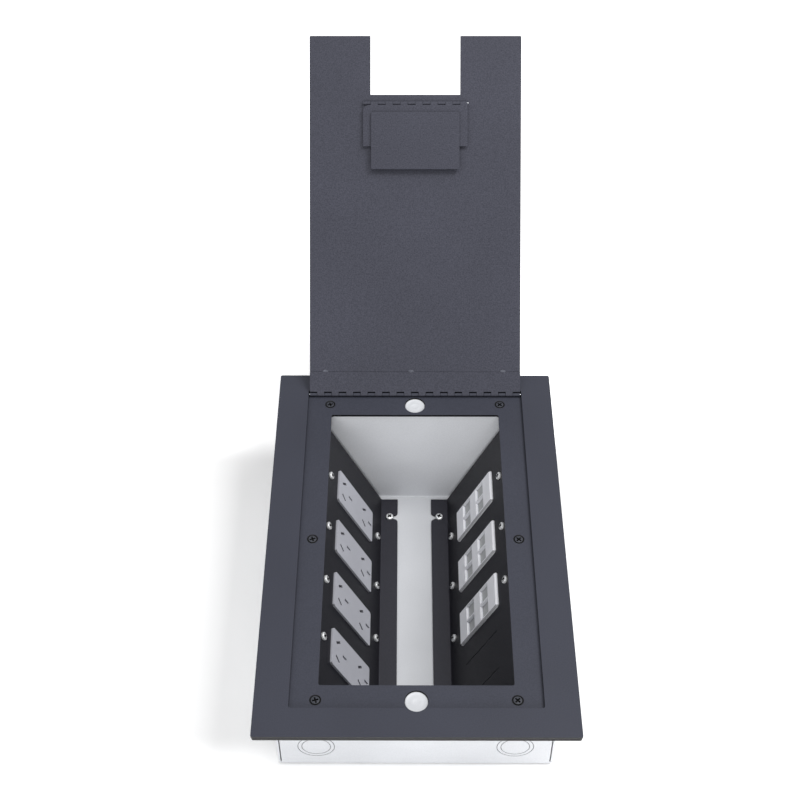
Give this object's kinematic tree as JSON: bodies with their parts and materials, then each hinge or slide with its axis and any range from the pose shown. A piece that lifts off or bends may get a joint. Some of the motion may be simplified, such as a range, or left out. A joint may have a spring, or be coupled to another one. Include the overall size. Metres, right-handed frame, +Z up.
{
  "type": "floor socket box",
  "caption": "Flush floor box with a hinged lid, cable flap, sloping brackets, socket outlets and data plates.",
  "frame": {"origin": "centre of the cover flange on its top face, level with the finished floor", "axes": "+X to the data side, +Y towards the lid hinge, +Z up out of the floor"},
  "size_m": [0.216, 0.5075, 0.3061],
  "materials": {
    "charcoal_coat": "fine-textured charcoal powder coat",
    "hinge_coat": "charcoal powder coat over the folded hinge",
    "packing_coat": "dark coated packing strip",
    "plug_plastic": "pale grey moulded plastic",
    "pale_coat": "pale grey powder coat",
    "black_screw": "blackened countersunk screw",
    "zinc_steel": "bright zinc-plated steel",
    "black_coat": "black powder coat",
    "outlet_plastic": "moulded grey-white plastic",
    "housing_plastic": "moulded white plastic",
    "contact_brass": "bare stamped brass",
    "data_plastic": "moulded white plastic",
    "insert_plastic": "moulded white plastic",
    "hinge_wire": "drawn steel wire"
  },
  "bodies": {
    "base": {"cover_flange": "charcoal_coat", "packing_strips": "packing_coat", "inner_frame": "charcoal_coat", "plug_front": "plug_plastic", "plug_rear": "plug_plastic", "box_body": "pale_coat", "frame_screws": "black_screw", "weld_nuts": "zinc_steel", "data_bracket": "black_coat", "power_bracket": "black_coat", "foot_screws": "zinc_steel", "outlet_front_1": "outlet_plastic", "outlet_rear_1": "housing_plastic", "outlet_contacts_1": "contact_brass", "outlet_front_2": "outlet_plastic", "outlet_rear_2": "housing_plastic", "outlet_contacts_2": "contact_brass", "outlet_front_3": "outlet_plastic", "outlet_rear_3": "housing_plastic", "outlet_contacts_3": "contact_brass", "outlet_front_4": "outlet_plastic", "outlet_rear_4": "housing_plastic", "outlet_contacts_4": "contact_brass", "outlet_screws": "zinc_steel", "data_front_1": "data_plastic", "data_inserts_1": "insert_plastic", "data_front_2": "data_plastic", "data_inserts_2": "insert_plastic", "data_front_3": "data_plastic", "data_inserts_3": "insert_plastic", "data_screws": "zinc_steel", "hinge_frame_leaf": "hinge_coat"},
    "lid": {"lid_plate": "charcoal_coat", "hinge_lid_leaf": "hinge_coat", "hinge_pin": "hinge_wire", "flap_base_leaf": "hinge_coat"},
    "cable_flap": {"flap_leaf": "hinge_coat", "flap_plate": "charcoal_coat", "flap_pin": "hinge_wire"}
  },
  "joints": [
    {"name": "lid_hinge", "type": "hinge", "parent": "base", "child": "lid", "pos_m": [0, 0.14311, -0.0013], "axis": [1, 0, 0], "range_deg": [0, 135]},
    {"name": "flap_hinge", "type": "hinge", "parent": "lid", "child": "cable_flap", "pos_m": [0, 0.30455, 0.16325], "axis": [-1, 0, 0], "range_deg": [0, 180]}
  ]
}
